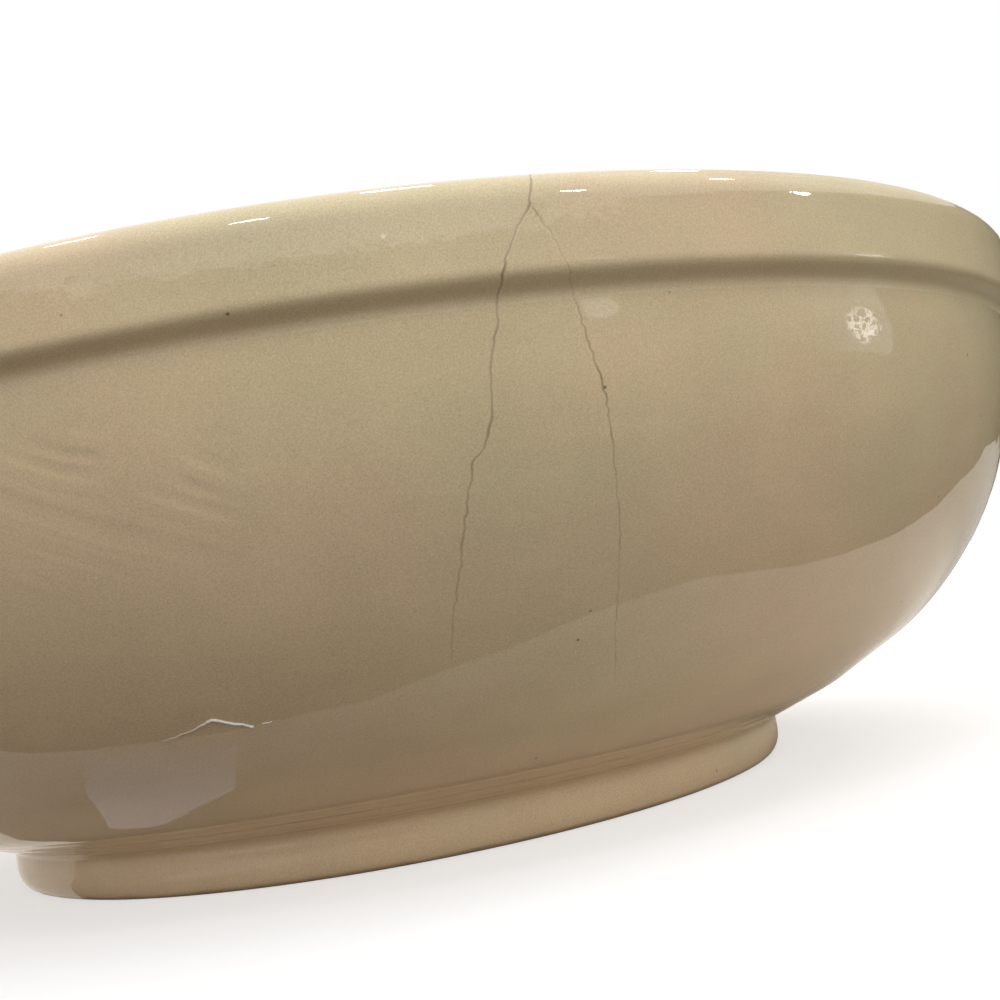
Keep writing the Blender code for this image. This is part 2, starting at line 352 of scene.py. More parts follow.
def base_line():
    """The axis, and then the hollow under the base out to the flat of the foot ring."""
    ground_outer = Vector((FOOT_RADIUS - FOOT_EDGE_WIDTH, 0))
    inner_edge = Vector((ground_outer.x - FOOT_FLAT, 0))
    ceiling_corner = Vector((inner_edge.x - FOOT_INNER_TAPER, RECESS_DEPTH))
    middle = Vector((0, RECESS_DEPTH))
    ring_inside = eased_corner(ceiling_corner, inner_edge, ground_outer, FOOT_INNER_EASE)
    ceiling_round = eased_corner(middle, ceiling_corner, inner_edge, RECESS_FILLET)
    return [middle], ceiling_round + ring_inside + [ground_outer]


def surface_point(turn_deg, height):
    """The point of the outer face at a turn and a height."""
    turn = math.radians(turn_deg)
    line = outer_line()
    for a, b in zip(line, line[1:]):
        if a.y <= height < b.y:
            out = a.lerp(b, (height - a.y) / (b.y - a.y)).x
            return Vector((out * math.sin(turn), -out * math.cos(turn), height))
    return None


def resampled(points, spacing):
    """The line's points moved to even steps of about the spacing, both ends kept."""
    lengths = [0.0]
    for a, b in zip(points, points[1:]):
        lengths.append(lengths[-1] + (b - a).length)
    count = max(1, round(lengths[-1] / spacing))
    found = []
    k = 0
    for i in range(count + 1):
        target = lengths[-1] * i / count
        while k < len(points) - 2 and lengths[k + 1] < target:
            k += 1
        span = lengths[k + 1] - lengths[k]
        found.append(points[k].lerp(points[k + 1], (target - lengths[k]) / span if span else 0))
    return found


def looked_up(table, x):
    """A value read off a list of (x, value) pairs in rising order, straight between them."""
    if x <= table[0][0]:
        return table[0][1]
    for (xa, a), (xb, b) in zip(table, table[1:]):
        if x <= xb:
            return a + (b - a) * (x - xa) / (xb - xa)
    return table[-1][1]


def wander(rng, count, step, spread):
    """A smooth random line: one value per row, drawn afresh every few rows."""
    knots = [rng.uniform(-spread, spread) for _ in range(count // step + 3)]
    values = []
    for i in range(count):
        k, t = divmod(i / step, 1)
        t = t * t * (3 - 2 * t)
        values.append(knots[int(k)] * (1 - t) + knots[int(k) + 1] * t)
    return values


def section_rows():
    """One dict per row of the surface: its place on the section, the crack's place and its strength there."""
    rng = random.Random(7)
    ceiling, ring = base_line()
    outside = outer_line()
    inside = inner_line()
    rows = []
    for points, spacing, side in (
        (ceiling + ring[:1], BASE_ROW, "under"),
        (ring, 0.0008, "ring"),
        (outside, OUTER_ROW, "outside"),
        (inside, INNER_ROW, "inside"),
    ):
        placed = resampled(points, spacing)
        if rows:
            placed = placed[1:]
        rows += [{"place": p, "side": side} for p in placed]
    low = belly_curve()[0].y
    high = RIM_HEIGHT - LIP_RADIUS
    main = sorted((share, deg) for deg, share in MAIN_CRACK)
    branch = sorted((share, deg) for deg, share in BRANCH_CRACK)
    tremble = wander(rng, len(rows), 1, 0.075)
    drift = wander(rng, len(rows), 11, 0.04)
    branch_tremble = wander(rng, len(rows), 1, 0.075)
    patchy = wander(rng, len(rows), 3, 0.38)
    for i, row in enumerate(rows):
        share = (row["place"].y - low) / (high - low)
        on_wall = row["side"] in ("outside", "inside") and row["place"].x > FOOT_RADIUS
        over = max(0.0, min(1.0, (row["place"].y - high) / LIP_RADIUS))
        calm = max(0.0, min(1.0, (FORK[1] - share) / 0.06))
        shake = (tremble[i] + drift[i]) * (calm if on_wall else 0)
        main_turn = looked_up(main, share) + (LIP_CROSSING_DEG - FORK[0]) * over + shake
        branch_true = looked_up(branch, share) + branch_tremble[i] * (1 if on_wall else 0)
        row["main_turn"] = main_turn
        row["branch_true"] = branch_true
        row["branch_turn"] = max(branch_true, main_turn + BRANCH_CLEARANCE_DEG)
        seen = 1.0 if on_wall else 0.0
        row["main_dark"] = seen * looked_up(MAIN_DARKNESS, share) * (1 + patchy[i])
        row["branch_dark"] = seen * looked_up(BRANCH_DARKNESS, share) * (1 + patchy[-i])
        if share > FORK[1]:
            row["branch_dark"] = 0.0
        row["bare"] = 1.0 if row["side"] == "ring" and row["place"].y < 0.0006 else 0.0
        row["outer"] = 1.0 if row["side"] == "outside" else 0.0
    return rows


def column_plan():
    """One dict per column: its share of each crack's place, its own turn and its step to the side."""
    plan = []
    for step in CRACK_COLUMNS:
        plan.append((1.0, 0.0, 0.0, step))
    edge = CRACK_COLUMNS[-1]
    for i in range(1, BETWEEN_COLUMNS + 1):
        t = i / (BETWEEN_COLUMNS + 1)
        plan.append((1 - t, t, 0.0, edge * (1 - 2 * t)))
    for step in CRACK_COLUMNS:
        plan.append((0.0, 1.0, 0.0, step))
    for i in range(1, ROUND_COLUMNS + 1):
        t = i / (ROUND_COLUMNS + 1)
        plan.append((t, 1 - t, 360.0 * t, edge * (1 - 2 * t)))
    plan.append((1.0, 0.0, 360.0, -edge))
    names = ("main_share", "branch_share", "own_turn", "side_step")
    return [dict(zip(names, values)) for values in plan]


def points_with_values(name, places, table, keys):
    """A helper object: one loose point per entry, with a named number for each key."""
    mesh = bpy.data.meshes.new(name)
    mesh.from_pydata(places, [], [])
    for key in keys:
        attribute = mesh.attributes.new(key, "FLOAT", "POINT")
        attribute.data.foreach_set("value", [entry[key] for entry in table])
    helper = bpy.data.objects.new(name, mesh)
    collection.objects.link(helper)
    return helper


class Tree:
    """Short hand for building a node tree: each call adds a node, fills its inputs and gives an output."""

    def __init__(self, tree):
        self.tree = tree

    def add(self, kind, *inputs, out=0, named=None, **settings):
        node = self.tree.nodes.new(kind)
        for key, value in settings.items():
            setattr(node, key, value)
        for i, value in enumerate(inputs):
            self.plug(node.inputs[i], value)
        for key, value in (named or {}).items():
            self.plug(node.inputs[key], value)
        return node.outputs[out]

    def plug(self, socket, value):
        if value is None:
            return
        if isinstance(value, bpy.types.NodeSocket):
            self.tree.links.new(value, socket)
        else:
            socket.default_value = value

    def math(self, operation, a, b=None, c=None, clamp=False):
        inputs = [v for v in (a, b, c) if v is not None]
        node = self.tree.nodes.new("ShaderNodeMath")
        node.operation = operation
        node.use_clamp = clamp
        for i, value in enumerate(inputs):
            self.plug(node.inputs[i], value)
        return node.outputs[0]

    def vector(self, operation, a, b=None, scale=None, out=0):
        node = self.tree.nodes.new("ShaderNodeVectorMath")
        node.operation = operation
        self.plug(node.inputs[0], a)
        self.plug(node.inputs[1], b)
        if scale is not None:
            self.plug(node.inputs["Scale"], scale)
        return node.outputs[out]

    def smooth(self, value, low, high, to_low=0.0, to_high=1.0):
        node = self.tree.nodes.new("ShaderNodeMapRange")
        node.interpolation_type = "SMOOTHSTEP"
        for i, v in enumerate((value, low, high, to_low, to_high)):
            self.plug(node.inputs[i], v)
        return node.outputs[0]


def turned_wall_tree():
    """Weaves rows and columns into the turned wall, and cuts the crack into it."""
    tree = bpy.data.node_groups.new("turned_wall", "GeometryNodeTree")
    tree.interface.new_socket("Rows", in_out="INPUT", socket_type="NodeSocketGeometry")
    for name, kind, value in (
        ("Columns", "NodeSocketObject", None),
        ("Crack half width", "NodeSocketFloat", CRACK_HALF_WIDTH),
        ("Crack depth", "NodeSocketFloat", CRACK_DEPTH),
        ("Swell depth", "NodeSocketFloat", SWELL_DEPTH),
        ("Swell spacing", "NodeSocketFloat", SWELL_SPACING),
        ("Ring depth", "NodeSocketFloat", RING_DEPTH),
        ("Glaze", "NodeSocketMaterial", None),
        ("Bare clay", "NodeSocketMaterial", None),
    ):
        socket = tree.interface.new_socket(name, in_out="INPUT", socket_type=kind)
        if value is not None:
            socket.default_value = value
    tree.interface.new_socket("Wall", in_out="OUTPUT", socket_type="NodeSocketGeometry")
    t = Tree(tree)
    given = tree.nodes.new("NodeGroupInput").outputs
    rows = given["Rows"]
    columns = t.add("GeometryNodeObjectInfo", given["Columns"], out=4)
    row_count = t.add("GeometryNodeAttributeDomainSize", rows)
    column_count = t.add("GeometryNodeAttributeDomainSize", columns)
    grid = t.add("GeometryNodeMeshGrid", 1.0, 1.0, column_count, row_count)
    index = t.add("GeometryNodeInputIndex")
    column = t.math("FLOOR", t.math("DIVIDE", t.math("ADD", index, 0.5), row_count))
    row = t.math("ROUND", t.math("SUBTRACT", index, t.math("MULTIPLY", column, row_count)))

    def number(name):
        return t.add("GeometryNodeInputNamedAttribute", name, data_type="FLOAT")

    def from_rows(value, at, kind="FLOAT"):
        return t.add("GeometryNodeSampleIndex", rows, value, at, data_type=kind)

    def from_columns(name):
        return t.add("GeometryNodeSampleIndex", columns, number(name), column, data_type="FLOAT")

    def row_value(name):
        return from_rows(number(name), row)

    place = t.add("GeometryNodeInputPosition")
    last = t.math("SUBTRACT", row_count, 1.0)
    here = from_rows(place, row, "FLOAT_VECTOR")
    before = from_rows(place, t.math("MAXIMUM", t.math("SUBTRACT", row, 1.0), 0.0), "FLOAT_VECTOR")
    after = from_rows(place, t.math("MINIMUM", t.math("ADD", row, 1.0), last), "FLOAT_VECTOR")
    along = t.vector("NORMALIZE", t.vector("SUBTRACT", after, before))
    radius = t.add("ShaderNodeSeparateXYZ", here, out=0)
    height = t.add("ShaderNodeSeparateXYZ", here, out=2)

    reach = t.math("MAXIMUM", radius, 0.05)
    side_turn = t.math("DEGREES", t.math("DIVIDE", from_columns("side_step"), reach))
    main_turn = row_value("main_turn")
    turn = t.math("ADD", from_columns("own_turn"), side_turn)
    turn = t.math("MULTIPLY_ADD", from_columns("main_share"), main_turn, turn)
    turn = t.math("MULTIPLY_ADD", from_columns("branch_share"), row_value("branch_turn"), turn)

    def gap(true_turn):
        """Distance to a crack along the row, in metres, taken the short way round."""
        around = t.math("WRAP", t.math("SUBTRACT", turn, true_turn), 180.0, -180.0)
        return t.math("MULTIPLY", t.math("RADIANS", around), radius)

    main_gap = gap(main_turn)
    branch_gap = gap(row_value("branch_true"))

    def groove(distance, darkness):
        share = t.math("DIVIDE", t.math("ABSOLUTE", distance), given["Crack half width"])
        wedge = t.math("SUBTRACT", 1.0, share, clamp=True)
        return t.math("MULTIPLY", wedge, t.math("MINIMUM", darkness, 1.0))

    main_groove = groove(main_gap, row_value("main_dark"))
    branch_groove = groove(branch_gap, row_value("branch_dark"))
    depth = t.math("MULTIPLY", t.math("MAXIMUM", main_groove, branch_groove), given["Crack depth"])

    turn_radians = t.math("RADIANS", turn)
    sine, cosine = t.math("SINE", turn_radians), t.math("COSINE", turn_radians)

    def swung(out, up):
        """A point or direction of the section, swung round the axis."""
        return t.add("ShaderNodeCombineXYZ", t.math("MULTIPLY", out, sine),
                     t.math("MULTIPLY", t.math("MULTIPLY", out, cosine), -1.0), up)

    along_out = t.add("ShaderNodeSeparateXYZ", along, out=0)
    along_up = t.add("ShaderNodeSeparateXYZ", along, out=2)
    normal = swung(along_up, t.math("MULTIPLY", along_out, -1.0))
    point = swung(radius, height)
    swell = noise(t, point, t.math("DIVIDE", 1.0, given["Swell spacing"]), 1.0)
    swell = t.math("MULTIPLY", t.math("SUBTRACT", swell, 1.0), given["Swell depth"])
    ring = t.math("MULTIPLY", row_value("ring"), given["Ring depth"])
    sink = t.math("SUBTRACT", t.math("SUBTRACT", swell, ring), depth)
    on_axis = t.math("GREATER_THAN", radius, 0.0005)
    sink = t.math("MULTIPLY", t.math("MULTIPLY", sink, on_axis), row_value("free"))
    moved = t.vector("ADD", point, t.vector("SCALE", normal, scale=sink))
    wall = t.add("GeometryNodeSetPosition", grid, None, moved)
    for name, value in (
        ("main_gap", main_gap),
        ("branch_gap", branch_gap),
        ("main_dark", row_value("main_dark")),
        ("branch_dark", row_value("branch_dark")),
        ("outer", row_value("outer")),
        ("bare", row_value("bare")),
    ):
        wall = t.add("GeometryNodeStoreNamedAttribute", wall, None, name, value,
                     data_type="FLOAT", domain="POINT")
    wall = t.add("GeometryNodeMergeByDistance", wall, named={"Distance": 0.000004})
    wall = t.add("GeometryNodeRealizeInstances", wall)
    wall = t.add("GeometryNodeSetMaterial", wall, None, given["Glaze"])
    bare_faces = t.math("GREATER_THAN", number("bare"), 0.9)
    wall = t.add("GeometryNodeSetMaterial", wall, bare_faces, given["Bare clay"])
    end = tree.nodes.new("NodeGroupOutput")
    tree.links.new(wall, end.inputs["Wall"])
    return tree


def woven_bowl(glaze, clay):
    """The whole bowl as one plain mesh: glaze all over, bare clay on the flat of the foot ring."""
    rng = random.Random(21)
    rows = section_rows()
    fine = wander(rng, len(rows), 4, 1.0)
    broad = wander(rng, len(rows), 9, 1.4)
    for i, row in enumerate(rows):
        row["ring"] = 1.2 + 0.4 * (fine[i] + broad[i])
        if row["side"] == "outside" and row["place"].y < CREASE_HEIGHT:
            row["ring"] *= UNDER_RING_DEPTHS
            for radius, strength in UNDER_LINES:
                off_line = (row["place"].x - radius) / UNDER_LINE_WIDTH
                row["ring"] += UNDER_LINE_DEPTHS * strength * math.exp(-(off_line**2))
        row["free"] = 0.0 if row["side"] in ("under", "ring") and row["place"].y < 0.0001 else 1.0
    plan = column_plan()
    places = [(row["place"].x, 0, row["place"].y) for row in rows]
    row_keys = (
        "main_turn", "branch_turn", "branch_true", "main_dark", "branch_dark",
        "bare", "outer", "ring", "free",
    )
    bowl_rows = points_with_values("section_rows", places, rows, row_keys)
    columns = points_with_values("columns", [(i, 0, 0) for i in range(len(plan))], plan, list(plan[0]))
    tree = turned_wall_tree()
    modifier = bowl_rows.modifiers.new("turned_wall", "NODES")
    modifier.node_group = tree
    sizes = {
        "Columns": columns,
        "Crack half width": CRACK_HALF_WIDTH,
        "Crack depth": CRACK_DEPTH,
        "Swell depth": SWELL_DEPTH,
        "Swell spacing": SWELL_SPACING,
        "Ring depth": RING_DEPTH,
        "Glaze": glaze,
        "Bare clay": clay,
    }
    for item in tree.interface.items_tree:
        if item.in_out == "INPUT" and item.name in sizes:
            modifier[item.identifier] = sizes[item.name]
    graph = bpy.context.evaluated_depsgraph_get()
    woven = bowl_rows.evaluated_get(graph)
    mesh = bpy.data.meshes.new_from_object(woven, preserve_all_data_layers=True, depsgraph=graph)
    bpy.data.objects.remove(bowl_rows)
    bpy.data.objects.remove(columns)
    mesh.name = "glazed_bowl"
    mesh.shade_smooth()
    bowl = bpy.data.objects.new("glazed_bowl", mesh)
    collection.objects.link(bowl)
    return bowl


def new_material(name):
    """A material, its tree's short hand and its shader."""
    material = bpy.data.materials.new(name)
    material.use_nodes = True
    shader = material.node_tree.nodes["Principled BSDF"]
    return material, Tree(material.node_tree), shader


def mixed(t, factor, before, after):
    """One colour turned toward another by a factor."""
    mix = t.add("ShaderNodeMix", named={"Factor": factor}, data_type="RGBA", out=2)
    for socket, value in ((mix.node.inputs[6], before), (mix.node.inputs[7], after)):
        t.plug(socket, (*value, 1) if isinstance(value, tuple) else value)
    return mix


def noise(t, where, scale, detail=2.0):
    """Soft random values about 0.5."""
    return t.add("ShaderNodeTexNoise", named={"Vector": where, "Scale": scale, "Detail": detail})


def shader_group(name, inputs, outputs):
    """A new node group with named sockets: the group, its short hand, what it is given and its end."""
    group = bpy.data.node_groups.new(name, "ShaderNodeTree")
    for socket in inputs:
        kind = "NodeSocketVector" if socket == "Vector" else "NodeSocketFloat"
        group.interface.new_socket(socket, in_out="INPUT", socket_type=kind)
    for socket in outputs:
        group.interface.new_socket(socket, in_out="OUTPUT", socket_type="NodeSocketFloat")
    given = group.nodes.new("NodeGroupInput").outputs
    end = group.nodes.new("NodeGroupOutput").inputs
    return group, Tree(group), given, end


def grain_group():
    """Fine grain, as a value about 0.5 and as a tone about 1."""
    group, t, given, end = shader_group(
        "grain", ("Vector", "Scale", "Detail", "Strength"), ("Grain", "Tone"))
    grain = noise(t, given["Vector"], given["Scale"], given["Detail"])
    t.plug(end["Grain"], grain)
    t.plug(end["Tone"], t.math("MULTIPLY_ADD", t.math("SUBTRACT", grain, 0.5), given["Strength"], 1.0))
    return group


def grained(t, grain, where, scale, detail, strength):
    """The grain's tone in one material."""
    given = {"Vector": where, "Scale": scale, "Detail": detail, "Strength": strength}
    return t.add("ShaderNodeGroup", named=given, out="Tone", node_tree=grain)


def card_shade_group():
    """How bright a card is as the glaze mirrors it: a painted shadow of the bowl close to the foot, and
    painted shade further off.
    """
    group, t, given, end = shader_group("card_shade", ("Vector",), ("Shade",))
    away = t.vector("LENGTH", given["Vector"], out=1)
    # Painted shadow of the bowl near the foot, then painted shade further off
    painted_foot_shadow = t.smooth(away, 0.088, 0.097, 0.75, 1.0)
    t.plug(end["Shade"], t.math("MULTIPLY", painted_foot_shadow, t.smooth(away, 0.15, 0.26, 1.0, 0.6)))
    return group


def window(t, value, start, full, last_full, end):
    """1 in the middle of a window, easing to 0 at both its ends."""
    return t.math("MULTIPLY", t.smooth(value, start, full), t.smooth(value, last_full, end, 1.0, 0.0))


def stored(t, name):
    """A number that the woven wall carries at each point."""
    return t.add("ShaderNodeAttribute", attribute_name=name, out=2)


def clouds_and_painted_tint(t, where, across, height, outer):
    """Soft clouds, from 0 for pink cream to 1 for green cream, and fainter inside the bowl; outside they lean
    pinker below the middle height as painted warm light from below, and pinker at the front left as a painted
    reflection tint.
    """
    # Painted warm light from below, and a painted reflection tint at the front left
    above = t.math("MAXIMUM", t.math("SUBTRACT", height, WARM_LIGHT_MIDDLE), WARM_LIGHT_BELOW)
    warm_light_lean = t.math("MULTIPLY", t.math("MINIMUM", above, WARM_LIGHT_ABOVE), WARM_LIGHT_RISE)
    to_collar = t.smooth(height, *LEFT_TINT_HEIGHTS, 1.0, COLLAR_REFLECTION_TINT)
    reflection_tint = t.math("MULTIPLY", t.smooth(across, *LEFT_TINT_ACROSS, LEFT_REFLECTION_TINT, 0.0), to_collar)
    painted_lean = t.math("MULTIPLY", t.math("SUBTRACT", warm_light_lean, reflection_tint), outer)
    clouds = t.smooth(t.math("ADD", noise(t, where, CLOUD_SCALE, 3.0), painted_lean), 0.36, 0.64)
    contrast = t.math("MULTIPLY_ADD", outer, 1 - INNER_CONTRAST, INNER_CONTRAST)
    return t.math("MULTIPLY_ADD", t.math("SUBTRACT", clouds, 0.5), contrast, 0.5)


def glaze_ripples(t, where, across, depth, height, outer):
    """Slanting ripples at the front left, about 0.5."""
    slant = t.vector("DOT_PRODUCT", where, RIPPLE_SLANT, out=1)
    bent = t.math("MULTIPLY_ADD", noise(t, where, 30.0), 0.006, slant)
    ripple = t.add("ShaderNodeTexNoise", named={"W": bent, "Scale": RIPPLE_SCALE, "Detail": 1.0},
                   noise_dimensions="1D")
    share = t.math("MULTIPLY", window(t, across, *RIPPLE_ACROSS), window(t, height, *RIPPLE_HEIGHTS))
    share = t.math("MULTIPLY", share, t.smooth(depth, *RIPPLE_FRONT, 1.0, 0.0))
    share = t.math("MULTIPLY", share, t.smooth(noise(t, where, 60.0), 0.38, 0.56))
    share = t.math("MULTIPLY", share, outer)
    return t.math("MULTIPLY_ADD", t.math("SUBTRACT", ripple, 0.5), share, 0.5)


def glaze_tone(t, grain, where, ripples):
    """Lightness about 1, from a fine grain, blots, level strokes and the ripples."""
    tone = grained(t, grain, where, 4300.0, 1.0, 0.5)
    blots = noise(t, where, 75.0, 3.0)
    strokes = noise(t, t.vector("MULTIPLY", where, (1, 1, 7)), 38.0, 3.0)
    for value, strength in ((blots, 0.16), (strokes, 0.07), (ripples, 0.42)):
        tone = t.math("ADD", tone, t.math("MULTIPLY", t.math("SUBTRACT", value, 0.5), strength))
    return tone


def with_underside_shade(t, where, height, colour):
    """Painted shade round the underside, between the crease and the foot: darker along the turning lines and
    in streaks.
    """
    radius = t.vector("LENGTH", t.vector("MULTIPLY", where, (1, 1, 0)), out=1)
    under = window(t, height, *UNDER_HEIGHTS)
    broken = t.smooth(noise(t, where, 90.0), 0.35, 0.6, 0.4, 1.0)
    for line_radius, strength in UNDER_LINES:
        off_line = t.math("ABSOLUTE", t.math("SUBTRACT", radius, line_radius))
        line_shade = t.math("MULTIPLY", t.smooth(off_line, 0.0001, 0.0006, strength, 0.0), broken)
        colour = mixed(t, t.math("MULTIPLY", line_shade, under), colour, SHADE_AND_WEAR_BROWN)
    turned = t.add("ShaderNodeCombineXYZ", radius, height, 0.0)
    shade_streaks = t.smooth(noise(t, turned, 700.0, 2.0), 0.35, 0.65, 0.0, 0.22)
    return mixed(t, t.math("MULTIPLY", shade_streaks, under), colour, UNDERSIDE_SHADE_BROWN)


def pinholes(t, where):
    """A few tiny open pits, each at a chosen cell of a fine pattern."""
    pits = t.add("ShaderNodeTexVoronoi", named={"Vector": where, "Scale": PINHOLE_SCALE}, out=0)
    cell = t.add("ShaderNodeSeparateColor", pits.node.outputs["Color"])
    chosen = t.math("GREATER_THAN", cell, PINHOLE_RARITY)
    return t.math("MULTIPLY", t.smooth(pits, *PINHOLE_SIZES, 0.8, 0.0), chosen)


def crack_line(t, gap, dark, width):
    """The dark line of one branch of the crack, wider where it is darker."""
    wide = t.math("MULTIPLY_ADD", stored(t, dark), width, width * 0.45)
    edge = t.smooth(t.math("ABSOLUTE", stored(t, gap)), t.math("MULTIPLY", wide, 0.25), wide, 1.0, 0.0)
    return t.math("MULTIPLY", edge, stored(t, dark), clamp=True)


def glaze_material(grain):
    """Cream glaze, faintly clouded, with painted warm light below and a painted reflection tint at the front
    left, fine grain, specks, painted shade along the turning lines and round the underside, and the crack's
    dark line.
    """
    material, t, shader = new_material("cream_glaze")
    shader.inputs["IOR"].default_value = 1.5
    where = t.add("ShaderNodeTexCoord", out=3)
    across = t.add("ShaderNodeSeparateXYZ", where)
    depth, height = across.node.outputs["Y"], across.node.outputs["Z"]
    outer = stored(t, "outer")
    colour = mixed(t, clouds_and_painted_tint(t, where, across, height, outer), PINK_CREAM, GREEN_CREAM)
    ripples = glaze_ripples(t, where, across, depth, height, outer)
    colour = t.vector("SCALE", colour, scale=glaze_tone(t, grain, where, ripples))
    # Painted shade on the underside
    colour = with_underside_shade(t, where, height, colour)
    uneven = t.math("MULTIPLY", noise(t, where, 160.0), 0.0012)
    worn = t.smooth(t.math("ADD", height, uneven), *WORN_HEIGHTS, 0.7, 0.0)
    colour = mixed(t, worn, colour, SHADE_AND_WEAR_BROWN)
    pinhole = pinholes(t, where)
    colour = mixed(t, pinhole, colour, SHADE_AND_WEAR_BROWN)
    for specks, shade in ((DARK_SPECKS, SPECK_BROWN), (PALE_SPECKS, PALE_CREAM)):
        for turn_deg, speck_height, size in specks:
            away = t.vector("DISTANCE", where, tuple(surface_point(turn_deg, speck_height)), out=1)
            colour = mixed(t, t.smooth(away, size * 0.5, size * 1.3, 0.9, 0.0), colour, shade)
    main = crack_line(t, "main_gap", "main_dark", MAIN_LINE)
    branch = crack_line(t, "branch_gap", "branch_dark", BRANCH_LINE)
    crack = t.math("MAXIMUM", main, branch)
    t.plug(shader.inputs["Base Color"], mixed(t, crack, colour, CRACK_BROWN))
    rough = t.smooth(noise(t, where, 45.0, 4.0), 0.3, 0.7, 0.012, 0.04)
    rough = t.math("MAXIMUM", rough, t.math("MULTIPLY", t.math("MAXIMUM", worn, crack), 0.6))
    dull_step = t.math("MULTIPLY", t.smooth(height, *DULL_START), t.smooth(height, *DULL_END, DULL_STEP, 0.0))
    rough = t.math("MAXIMUM", rough, t.math("MULTIPLY", dull_step, outer))
    t.plug(shader.inputs["Roughness"], rough)
    relief = t.math("SUBTRACT", noise(t, where, 210.0, 3.0), pinhole)
    bump = t.add("ShaderNodeBump", named={"Strength": 0.35, "Distance": 0.0001, "Height": relief})
    t.plug(shader.inputs["Normal"], bump)
    return material


def clay_material(grain):
    """Dry, gritty clay, greyed by dirt, where the foot ring stands."""
    material, t, shader = new_material("bare_clay")
    where = t.add("ShaderNodeTexCoord", out=3)
    dirt = t.smooth(noise(t, where, 70.0, 4.0), 0.4, 0.7)
    colour = mixed(t, dirt, DRY_CLAY, DIRTY_CLAY)
    tone = grained(t, grain, where, 900.0, 3.0, 0.4)
    t.plug(shader.inputs["Base Color"], t.vector("SCALE", colour, scale=tone))
    shader.inputs["Roughness"].default_value = 0.85
    grit = tone.node.outputs["Grain"]
    bump = t.add("ShaderNodeBump", named={"Strength": 0.6, "Distance": 0.0002, "Height": grit})
    t.plug(shader.inputs["Normal"], bump)
    return material


def scratch_material(grain):
    """Pale broken glaze, with a painted highlight that whitens it toward the scratch's right end."""
    material, t, shader = new_material("pale_scratch")
    where = t.add("ShaderNodeTexCoord", out=3)
    # Painted highlight toward the scratch's right end
    painted_highlight = t.smooth(t.add("ShaderNodeSeparateXYZ", where), *SCRATCH_HIGHLIGHT_ACROSS)
    colour = mixed(t, painted_highlight, CHIP_CREAM, CHIP_HIGHLIGHT_WHITE)
    chips = grained(t, grain, where, 2500.0, 2.0, 0.3)
    t.plug(shader.inputs["Base Color"], t.vector("SCALE", colour, scale=chips))
    shader.inputs["Roughness"].default_value = 0.25
    return material


def raised_line(name, places, radius, material):
    """A thin bead along (degrees, height, share of the radius) on the outer face."""
    curve = bpy.data.curves.new(name, "CURVE")
    curve.dimensions = "3D"
    curve.bevel_depth = radius
    curve.bevel_resolution = 3
    curve.use_fill_caps = True
    rng = random.Random(5)
    spline = curve.splines.new("POLY")
    finer = []
    for a, b in zip(places, places[1:]):
        for i in range(6):
            t = i / 6
            finer.append([va + (vb - va) * t for va, vb in zip(a, b)])
    finer.append(list(places[-1]))
    spline.points.add(len(finer) - 1)
    for point, (turn_deg, height, share) in zip(spline.points, finer):
        point.co = (*surface_point(turn_deg, height + rng.uniform(-0.00005, 0.00005)), 1)
        point.radius = share * rng.uniform(0.85, 1.15)
    helper = bpy.data.objects.new(name, curve)
    mesh = bpy.data.meshes.new_from_object(helper)
    bpy.data.objects.remove(helper)
    mesh.materials.clear()
    mesh.materials.append(material)
    mesh.shade_smooth()
    made = bpy.data.objects.new(name, mesh)
    collection.objects.link(made)
    return made


def flat_mesh(name, corners, faces, material):
    """A piece of the stage."""
    mesh = bpy.data.meshes.new(name)
    mesh.from_pydata(corners, [], faces)
    mesh.materials.append(material)
    made = bpy.data.objects.new(name, mesh)
    collection.objects.link(made)
    return made


def seen_directly(t):
    """1 as the camera sees it, straight or in the glaze, and 0 for the light that it throws."""
    path = t.add("ShaderNodeLightPath")
    seen = t.math("MAXIMUM", path, path.node.outputs["Is Glossy Ray"])
    return t.math("MAXIMUM", seen, path.node.outputs["Is Transmission Ray"])


def floor_material():
    """A pale floor with a glow of its own for the camera, so that it runs to white but keeps the shadow."""
    material, t, shader = new_material("pale_floor")
    shader.inputs["Base Color"].default_value = (*FLOOR_COLOUR, 1)
    shader.inputs["Roughness"].default_value = 0.9
    shader.inputs["Specular IOR Level"].default_value = 0.0
    shader.inputs["Emission Color"].default_value = (1, 1, 1, 1)
    seen = seen_directly(t)
    away = t.vector("LENGTH", t.add("ShaderNodeTexCoord", out=3), out=1)
    glow = t.smooth(away, *FLOOR_GLOW_REACH, *FLOOR_GLOW)
    t.plug(shader.inputs["Emission Strength"], t.math("MULTIPLY", seen, glow))
    return material


def card_material(name, mirrored, lit, card_shade):
    """A plain card: one colour as the glaze mirrors it, another for the light it throws on the bowl."""
    material, t, shader = new_material(name)
    path = t.add("ShaderNodeLightPath")
    where = t.add("ShaderNodeTexCoord", out=3)
    shade = t.add("ShaderNodeGroup", named={"Vector": where}, out="Shade", node_tree=card_shade)
    mirrored = t.vector("SCALE", mirrored, scale=shade)
    t.plug(shader.inputs["Base Color"], mixed(t, path.node.outputs["Is Diffuse Ray"], mirrored, lit))
    shader.inputs["Roughness"].default_value = 0.9
    shader.inputs["Specular IOR Level"].default_value = 0.0
    return material


def glow_material(name, colour, strength):
    """An even glow, for what the glaze mirrors brightly."""
    material, t, shader = new_material(name)
    shader.inputs["Base Color"].default_value = (0, 0, 0, 1)
    shader.inputs["Emission Color"].default_value = (*colour, 1)
    shader.inputs["Emission Strength"].default_value = strength
    return material


